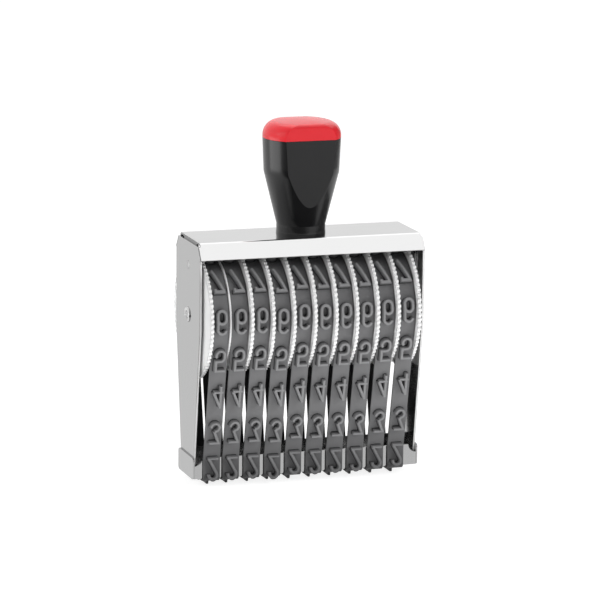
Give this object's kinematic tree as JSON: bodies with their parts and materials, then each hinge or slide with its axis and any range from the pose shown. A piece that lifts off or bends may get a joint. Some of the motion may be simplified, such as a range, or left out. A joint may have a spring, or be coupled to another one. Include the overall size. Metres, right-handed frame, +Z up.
{
  "type": "numbering stamp",
  "caption": "Hand numbering stamp: rubber number bands on toothed thumb wheels, steel shoe and cheeks, black grip with a red cap.",
  "frame": {"origin": "centre of the bottom: on the printing plane, midway between the cheeks and under the axle", "axes": "+Z up along the handle, +X along the axle to the right as seen from the front, front is -Y"},
  "size_m": [0.0872, 0.0476, 0.1335],
  "materials": {
    "plated_steel": "bright nickel plate, satin",
    "white_plastic": "moulded, slight gloss",
    "band_rubber": "moulded, matt",
    "black_plastic": "moulded, semi-gloss",
    "red_plastic": "moulded, semi-gloss",
    "insert_brass": "machined"
  },
  "bodies": {
    "frame": {"roof": "plated_steel", "left_cheek": "plated_steel", "right_cheek": "plated_steel", "frame_rivets": "plated_steel", "platen_shoe": "plated_steel", "wheel_axle": "plated_steel", "axle_washer": "plated_steel", "axle_spacer": "white_plastic", "handle_body": "black_plastic", "handle_cap": "red_plastic", "handle_screw": "plated_steel", "screw_washer": "plated_steel", "threaded_insert": "insert_brass", "number_band_01": "band_rubber", "number_band_02": "band_rubber", "number_band_03": "band_rubber", "number_band_04": "band_rubber", "number_band_05": "band_rubber", "number_band_06": "band_rubber", "number_band_07": "band_rubber", "number_band_08": "band_rubber", "number_band_09": "band_rubber", "number_band_10": "band_rubber"},
    "wheel_01": {"thumb_wheel_01": "white_plastic"},
    "wheel_02": {"thumb_wheel_02": "white_plastic"},
    "wheel_03": {"thumb_wheel_03": "white_plastic"},
    "wheel_04": {"thumb_wheel_04": "white_plastic"},
    "wheel_05": {"thumb_wheel_05": "white_plastic"},
    "wheel_06": {"thumb_wheel_06": "white_plastic"},
    "wheel_07": {"thumb_wheel_07": "white_plastic"},
    "wheel_08": {"thumb_wheel_08": "white_plastic"},
    "wheel_09": {"thumb_wheel_09": "white_plastic"},
    "wheel_10": {"thumb_wheel_10": "white_plastic"}
  },
  "joints": [
    {"name": "wheel_turn_01", "type": "hinge", "parent": "frame", "child": "wheel_01", "pos_m": [0, 0, 0.0631], "axis": [1, 0, 0], "continuous": true},
    {"name": "wheel_turn_02", "type": "hinge", "parent": "frame", "child": "wheel_02", "pos_m": [0, 0, 0.0631], "axis": [1, 0, 0], "continuous": true},
    {"name": "wheel_turn_03", "type": "hinge", "parent": "frame", "child": "wheel_03", "pos_m": [0, 0, 0.0631], "axis": [1, 0, 0], "continuous": true},
    {"name": "wheel_turn_04", "type": "hinge", "parent": "frame", "child": "wheel_04", "pos_m": [0, 0, 0.0631], "axis": [1, 0, 0], "continuous": true},
    {"name": "wheel_turn_05", "type": "hinge", "parent": "frame", "child": "wheel_05", "pos_m": [0, 0, 0.0631], "axis": [1, 0, 0], "continuous": true},
    {"name": "wheel_turn_06", "type": "hinge", "parent": "frame", "child": "wheel_06", "pos_m": [0, 0, 0.0631], "axis": [1, 0, 0], "continuous": true},
    {"name": "wheel_turn_07", "type": "hinge", "parent": "frame", "child": "wheel_07", "pos_m": [0, 0, 0.0631], "axis": [1, 0, 0], "continuous": true},
    {"name": "wheel_turn_08", "type": "hinge", "parent": "frame", "child": "wheel_08", "pos_m": [0, 0, 0.0631], "axis": [1, 0, 0], "continuous": true},
    {"name": "wheel_turn_09", "type": "hinge", "parent": "frame", "child": "wheel_09", "pos_m": [0, 0, 0.0631], "axis": [1, 0, 0], "continuous": true},
    {"name": "wheel_turn_10", "type": "hinge", "parent": "frame", "child": "wheel_10", "pos_m": [0, 0, 0.0631], "axis": [1, 0, 0], "continuous": true}
  ]
}
